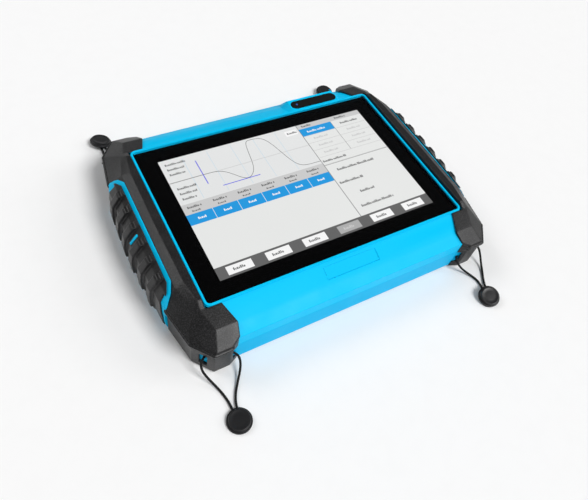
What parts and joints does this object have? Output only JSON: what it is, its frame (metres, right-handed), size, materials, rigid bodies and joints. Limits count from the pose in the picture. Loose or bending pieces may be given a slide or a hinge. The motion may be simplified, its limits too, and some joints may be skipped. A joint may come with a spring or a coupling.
{
  "type": "rugged touchscreen test instrument",
  "caption": "Rugged handheld tablet-style test instrument with a touch display, rubber guards, side grips and strap anchors on thin cords.",
  "frame": {"origin": "on the resting plane, below the middle of the instrument with its guards and grips", "axes": "+X to the display's right, +Y to the display's top edge, +Z out of the glass; the instrument lies on its back"},
  "size_m": [0.3234, 0.3361, 0.0527],
  "materials": {
    "blue_housing": "satin moulded plastic",
    "blue_lower": "fine-grained moulded plastic",
    "guard_rubber": "grained moulded rubber",
    "grip_rubber": "soft ribbed rubber",
    "grip_blue": "satin moulded plastic",
    "glass": "polished cover glass",
    "tape": "black printed border and adhesive",
    "display": "lit display",
    "bracket": "pressed sheet",
    "board": "green circuit board with solder resist",
    "brass": "turned",
    "steel": "zinc plated",
    "dark_screw": "black coated steel",
    "shield": "tinned sheet",
    "battery": "wrapped pack",
    "black_plastic": "fine-grained moulded plastic",
    "gasket": "moulded silicone",
    "name_plate": "printed foil",
    "lamp": "small lamp",
    "port_metal": "plated brass",
    "cord": "braided black polyester",
    "disc": "moulded, satin"
  },
  "bodies": {
    "instrument": {"anchor_cord_front_left": "cord", "anchor_cord_front_right": "cord", "anchor_cord_rear_left": "cord", "anchor_cord_rear_right": "cord", "anchor_disc_front_left": "disc", "anchor_disc_front_right": "disc", "anchor_disc_rear_left": "disc", "anchor_disc_rear_right": "disc", "battery_door": "black_plastic", "battery_door_screws": "dark_screw", "battery_pack": "battery", "board_screws": "steel", "board_standoffs": "brass", "charge_socket": "black_plastic", "corner_bumper_front_left": "guard_rubber", "corner_bumper_front_right": "guard_rubber", "corner_bumper_rear_left": "guard_rubber", "corner_bumper_rear_right": "guard_rubber", "cover_glass": "glass", "data_socket": "shield", "display_bracket": "bracket", "display_panel": "display", "front_housing": "blue_housing", "glass_tape": "tape", "grip_accent_left": "grip_blue", "grip_accent_right": "grip_blue", "grip_carrier_left": "grip_blue", "grip_carrier_right": "grip_blue", "grip_pad_left": "grip_rubber", "grip_pad_right": "grip_rubber", "hatch_bracket": "black_plastic", "hatch_pin": "steel", "housing_gasket": "gasket", "housing_screws": "dark_screw", "key_bezel": "black_plastic", "key_switch": "black_plastic", "main_board": "board", "measuring_shield": "shield", "name_plate": "name_plate", "port_board": "board", "port_board_posts": "brass", "port_plate": "black_plastic", "processor_shield": "shield", "rear_housing": "blue_lower", "speaker": "black_plastic", "status_light": "lamp", "strap_lug_front_left": "blue_lower", "strap_lug_front_right": "blue_lower", "strap_lug_rear_left": "blue_lower", "strap_lug_rear_right": "blue_lower", "test_port_left": "port_metal", "test_port_right": "port_metal", "upper_guard_left": "guard_rubber", "upper_guard_right": "guard_rubber"},
    "hatch": {"port_hatch": "grip_rubber"},
    "key": {"power_key": "grip_rubber"}
  },
  "joints": [
    {"name": "hatch_hinge", "type": "hinge", "parent": "instrument", "child": "hatch", "pos_m": [0.058, 0.1137, 0.014], "axis": [0, 0, 1], "range_deg": [0, 100]},
    {"name": "power_key_press", "type": "slide", "parent": "instrument", "child": "key", "axis": [0, -1, 0], "range_m": [0, 0.001], "stiffness_N_per_m": 3000}
  ]
}
